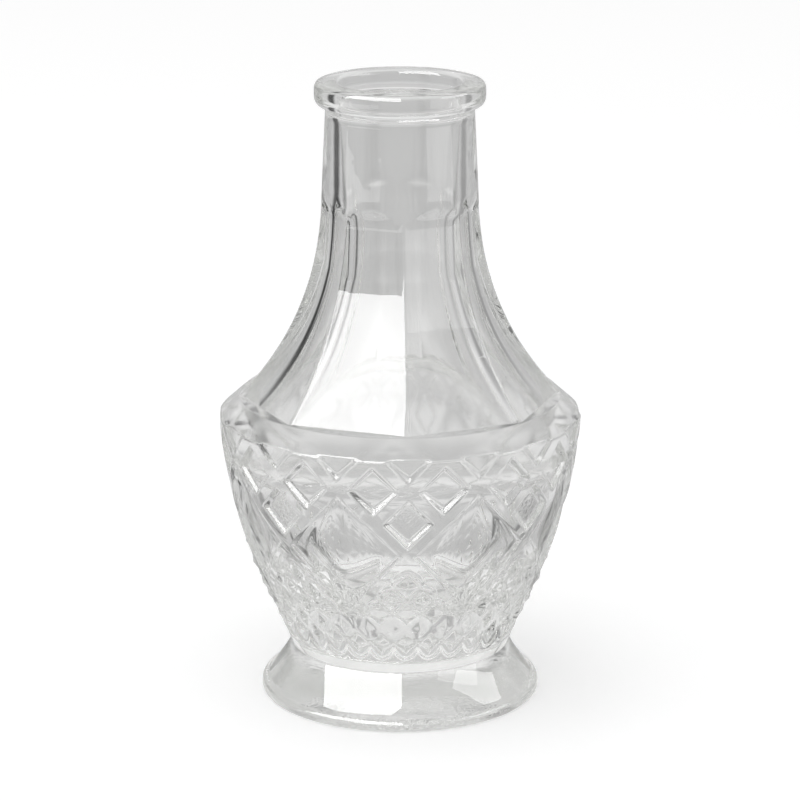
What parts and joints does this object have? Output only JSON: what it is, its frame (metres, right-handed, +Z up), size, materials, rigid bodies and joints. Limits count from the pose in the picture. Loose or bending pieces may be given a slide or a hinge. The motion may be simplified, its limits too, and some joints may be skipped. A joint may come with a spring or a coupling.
{
  "type": "bottle vase",
  "caption": "Clear pressed-glass bottle vase with a flared foot, a bowl in diamond and stud relief, a panelled shoulder and a round neck with a rolled lip.",
  "frame": {"origin": "centre of the foot, on the surface that the vase stands on", "axes": "+Z up the vase's axis; -Y is the front, where a ridge between two shoulder panels faces"},
  "size_m": [0.0752, 0.0752, 0.13],
  "materials": {
    "clear_glass": "clear fire-polished glass, colourless with a faint grey-green tint in its thick edges"
  },
  "bodies": {
    "root": {"glass_body": "clear_glass"}
  },
  "joints": []
}
